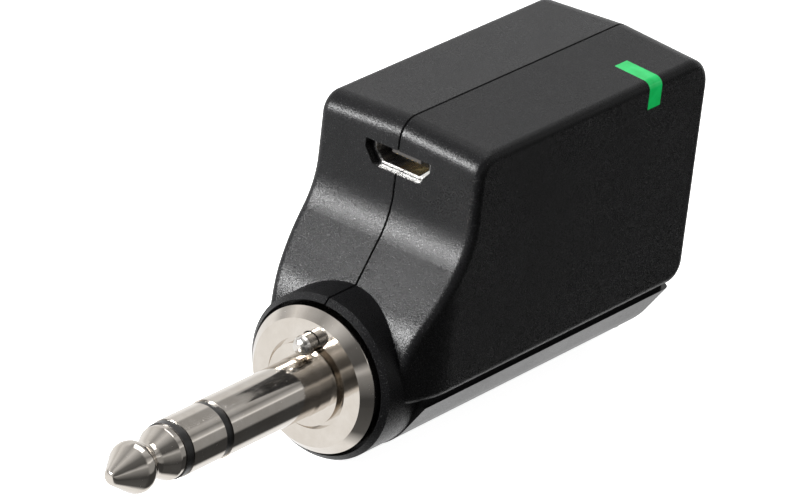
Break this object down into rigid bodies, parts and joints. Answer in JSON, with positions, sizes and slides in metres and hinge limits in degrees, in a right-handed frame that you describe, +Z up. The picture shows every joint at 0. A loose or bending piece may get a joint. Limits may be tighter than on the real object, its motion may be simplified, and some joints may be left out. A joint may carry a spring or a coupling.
{
  "type": "wireless guitar transmitter",
  "caption": "Plug-in wireless guitar transmitter: a slim black box with a collar, a stereo jack plug with a round seat flange, a sprung detector pin, a charging socket and a status window.",
  "frame": {"origin": "on the plug's axis, in the plane of the seat flange's front face", "axes": "+Y from the plug's seat towards the back of the box (the plug points along -Y), +X to the object's right side with the status window, +Z up"},
  "size_m": [0.021, 0.0828, 0.0354],
  "materials": {
    "shell_black": "fine satin texture",
    "cover_black": "smooth satin",
    "nickel": "polished nickel plate",
    "insulator_black": "smooth",
    "pin_steel": "satin plated",
    "spring_steel": "bright",
    "guide_white": "smooth",
    "terminal_brass": "tinned",
    "contact_gold": "gold flash",
    "window_green": "translucent green",
    "lamp_white": "clear",
    "socket_steel": "bright tin plate",
    "socket_black": "moulded",
    "board_green": "solder mask",
    "chip_black": "moulded epoxy",
    "ceramic_white": "fired ceramic",
    "can_silver": "satin tin plate",
    "cell_wrap": "cell in a thin wrap",
    "foam_grey": "foam",
    "lead_red": "insulated wire",
    "flex_amber": "polyimide"
  },
  "bodies": {
    "transmitter": {"right_shell": "shell_black", "left_shell": "shell_black", "bottom_cover": "cover_black", "plug_tip": "nickel", "plug_ring": "nickel", "plug_sleeve": "nickel", "seat_flange": "nickel", "tip_insulator": "insulator_black", "ring_insulator": "insulator_black", "pin_spring": "spring_steel", "retaining_ring": "spring_steel", "cover_screws": "spring_steel", "pin_guide": "guide_white", "sleeve_lug": "terminal_brass", "ring_lug": "terminal_brass", "usb_contacts": "contact_gold", "light_pipe": "window_green", "status_led": "lamp_white", "usb_shell": "socket_steel", "usb_insulator": "socket_black", "detector_switch": "socket_black", "board_connector": "socket_black", "main_board": "board_green", "radio_board": "board_green", "jack_board": "board_green", "protection_board": "board_green", "charger_chip": "chip_black", "power_inductor": "chip_black", "radio_chip": "chip_black", "audio_converter": "chip_black", "chip_antenna": "ceramic_white", "shield_can": "can_silver", "clock_crystal": "can_silver", "supply_capacitors": "can_silver", "battery_cell": "cell_wrap", "cell_pad": "foam_grey", "battery_leads": "lead_red", "flex_cable": "flex_amber"},
    "detector_pin": {"detector_pin": "pin_steel"}
  },
  "joints": [
    {"name": "pin_press", "type": "slide", "parent": "transmitter", "child": "detector_pin", "axis": [0, 1, 0], "range_m": [0, 0.002], "stiffness_N_per_m": 250, "springref_m": -0.001, "deforming": ["pin_spring"]}
  ]
}
